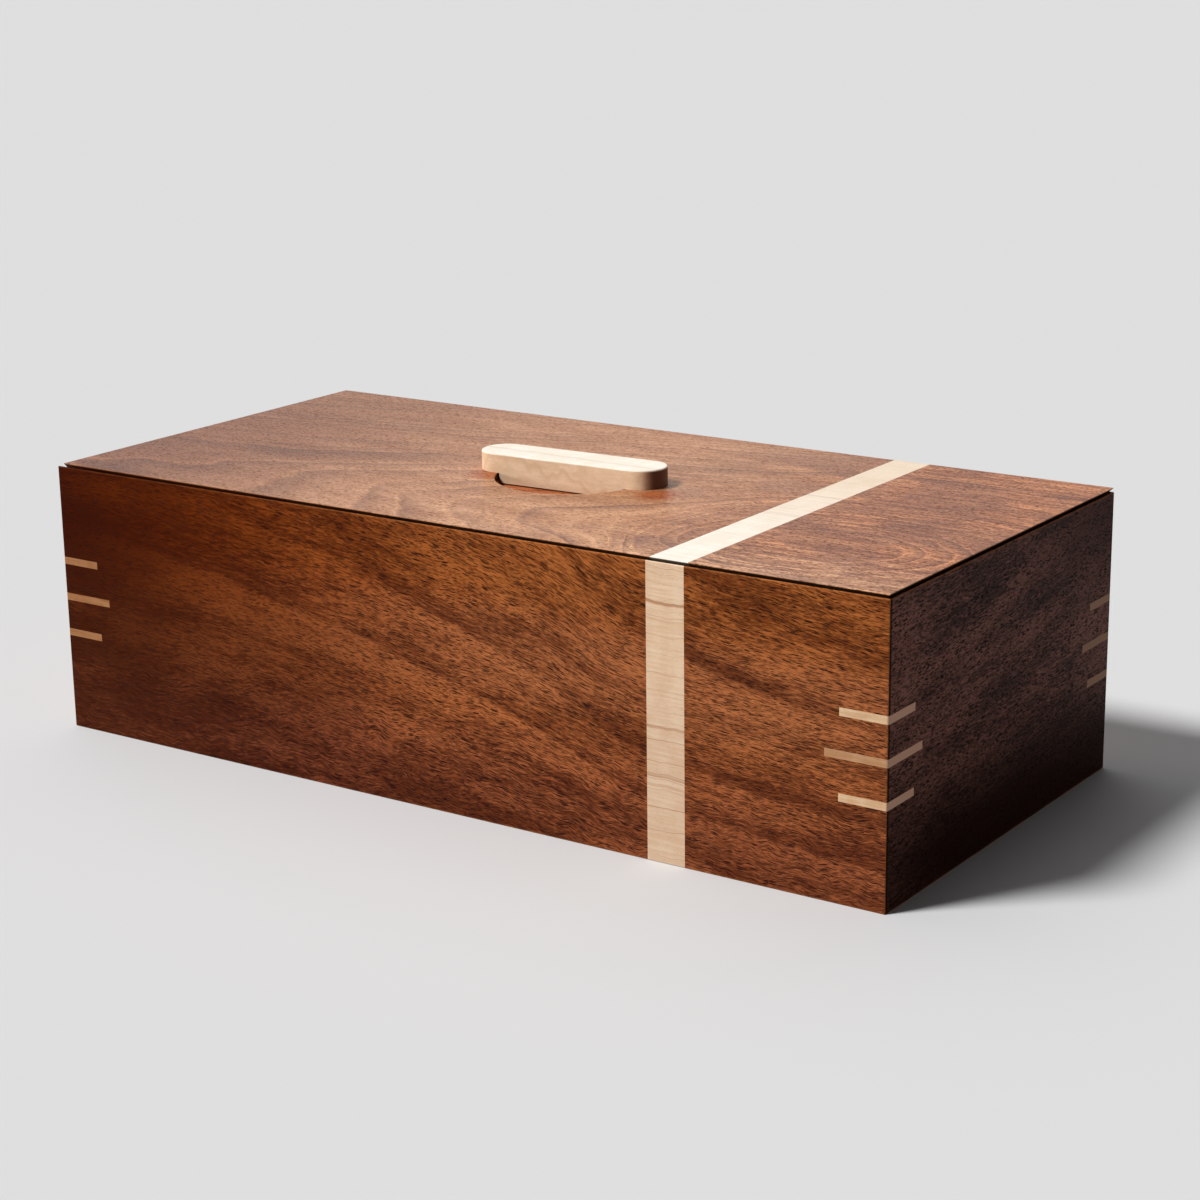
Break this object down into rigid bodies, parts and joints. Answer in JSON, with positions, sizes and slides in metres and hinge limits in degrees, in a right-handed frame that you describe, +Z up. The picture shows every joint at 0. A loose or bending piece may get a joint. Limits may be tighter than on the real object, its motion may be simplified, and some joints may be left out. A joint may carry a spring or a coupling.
{
  "type": "sliding lid wooden box",
  "caption": "Long walnut box with mitred corners locked by maple keys, maple inlay bands, and a bevelled lid with a bar handle over a round finger dish that slides out endways.",
  "frame": {"origin": "middle of the box's base, on the surface that it stands on", "axes": "+X along the length, from the end where the lid comes out to the stopped end; +Y to the back; +Z up"},
  "size_m": [0.407, 0.19, 0.1279],
  "materials": {
    "walnut": "oiled satin",
    "walnut_lid": "oiled satin",
    "maple": "oiled satin",
    "maple_handle": "oiled satin",
    "screw_brass": "brushed"
  },
  "bodies": {
    "box": {"front_wall": "walnut", "back_wall": "walnut", "left_end_wall": "walnut", "right_end_wall": "walnut", "bottom_panel": "walnut", "front_band": "maple", "back_band": "maple", "key_front_right_upper": "maple", "key_front_right_middle": "maple", "key_front_right_lower": "maple", "key_front_left_upper": "maple", "key_front_left_middle": "maple", "key_front_left_lower": "maple", "key_back_right_upper": "maple", "key_back_right_middle": "maple", "key_back_right_lower": "maple", "key_back_left_upper": "maple", "key_back_left_middle": "maple", "key_back_left_lower": "maple"},
    "lid": {"lid_panel": "walnut_lid", "lid_band": "maple", "front_runner": "maple", "back_runner": "maple", "handle": "maple_handle", "handle_screws": "screw_brass"}
  },
  "joints": [
    {"name": "lid_slide", "type": "slide", "parent": "box", "child": "lid", "axis": [-1, 0, 0], "range_m": [0, 0.372]}
  ]
}
